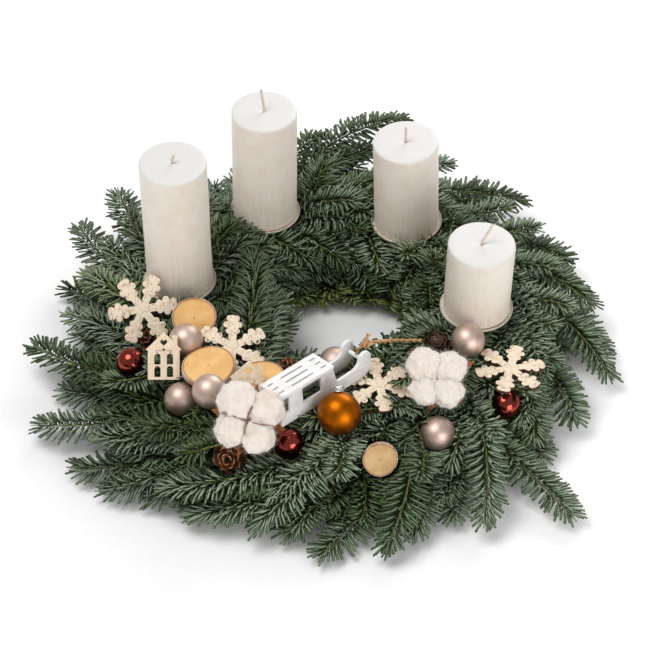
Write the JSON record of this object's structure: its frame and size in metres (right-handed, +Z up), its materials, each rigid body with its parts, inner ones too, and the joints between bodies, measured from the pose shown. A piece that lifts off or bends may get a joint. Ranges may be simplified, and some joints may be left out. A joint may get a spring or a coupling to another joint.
{
  "type": "advent wreath",
  "caption": "Round table wreath of bound fir sprays on a straw ring, with stepped pillar candles on spiked plates and a trim of baubles, wood, cones, cotton and a small sledge.",
  "frame": {"origin": "centre of the wreath's box, on the table that the straw ring rests on", "axes": "+Z up out of the table; +X to the right and +Y away from the viewer, with the sledge and most of the trim at the front left; the tallest candle stands at the left"},
  "size_m": [0.5392, 0.5286, 0.2168],
  "materials": {
    "straw": "bound wheat straw, dull gold",
    "wire": "green lacquered binding wire",
    "fir": "fresh noble fir needles and twigs, dark blue-green",
    "wax": "pearl ivory pillar candle wax with frosting",
    "wick": "waxed cotton wick, off-white",
    "plate": "cream enamelled steel candle plate",
    "pink_glass": "satin rose-beige lacquered glass",
    "red_glass": "glossy maroon silvered glass",
    "amber_glass": "satin amber lacquered glass",
    "silver_cap": "silvered cap",
    "whitewashed_wood": "whitewashed cream wood, rough cut",
    "plywood": "laser-cut pale plywood",
    "slice_wood": "sawn branch slice, honey wood with thin bark",
    "cone_scale": "dry brown cone scales",
    "cotton": "raw cotton fibre",
    "husk": "dry cotton husk",
    "white_paint": "white painted thin board",
    "jute": "two-strand jute twine"
  },
  "bodies": {
    "root": {"straw_ring": "straw", "binding_wire": "wire", "fir_bunch_01": "fir", "fir_bunch_02": "fir", "fir_bunch_03": "fir", "fir_bunch_04": "fir", "fir_bunch_05": "fir", "fir_bunch_06": "fir", "fir_bunch_07": "fir", "fir_bunch_08": "fir", "fir_bunch_09": "fir", "fir_bunch_10": "fir", "fir_bunch_11": "fir", "fir_bunch_12": "fir", "candle_left": "wax", "wick_left": "wick", "candle_plate_left": "plate", "candle_back_left": "wax", "wick_back_left": "wick", "candle_plate_back_left": "plate", "candle_back_right": "wax", "wick_back_right": "wick", "candle_plate_back_right": "plate", "candle_right": "wax", "wick_right": "wick", "candle_plate_right": "plate", "bauble_pink_1": "pink_glass", "bauble_pink_2": "pink_glass", "bauble_pink_3": "pink_glass", "bauble_pink_4": "pink_glass", "bauble_pink_5": "pink_glass", "bauble_pink_6": "pink_glass", "bauble_red_1": "red_glass", "bauble_red_2": "red_glass", "bauble_red_3": "red_glass", "bauble_amber": "amber_glass", "bauble_amber_cap": "silver_cap", "snowflake_1": "whitewashed_wood", "snowflake_2": "whitewashed_wood", "snowflake_3": "whitewashed_wood", "snowflake_4": "whitewashed_wood", "house_1": "plywood", "house_2": "plywood", "wood_slice_1": "slice_wood", "wood_slice_2": "slice_wood", "wood_slice_3": "slice_wood", "wood_slice_4": "slice_wood", "cone_1": "cone_scale", "cone_2": "cone_scale", "cone_3": "cone_scale", "cone_4": "cone_scale", "cone_5": "cone_scale", "cotton_fibre_1": "cotton", "cotton_husk_1": "husk", "cotton_fibre_2": "cotton", "cotton_husk_2": "husk", "sledge_deck": "white_paint", "sledge_runner_left": "white_paint", "sledge_runner_right": "white_paint", "pull_cord": "jute"}
  },
  "joints": []
}
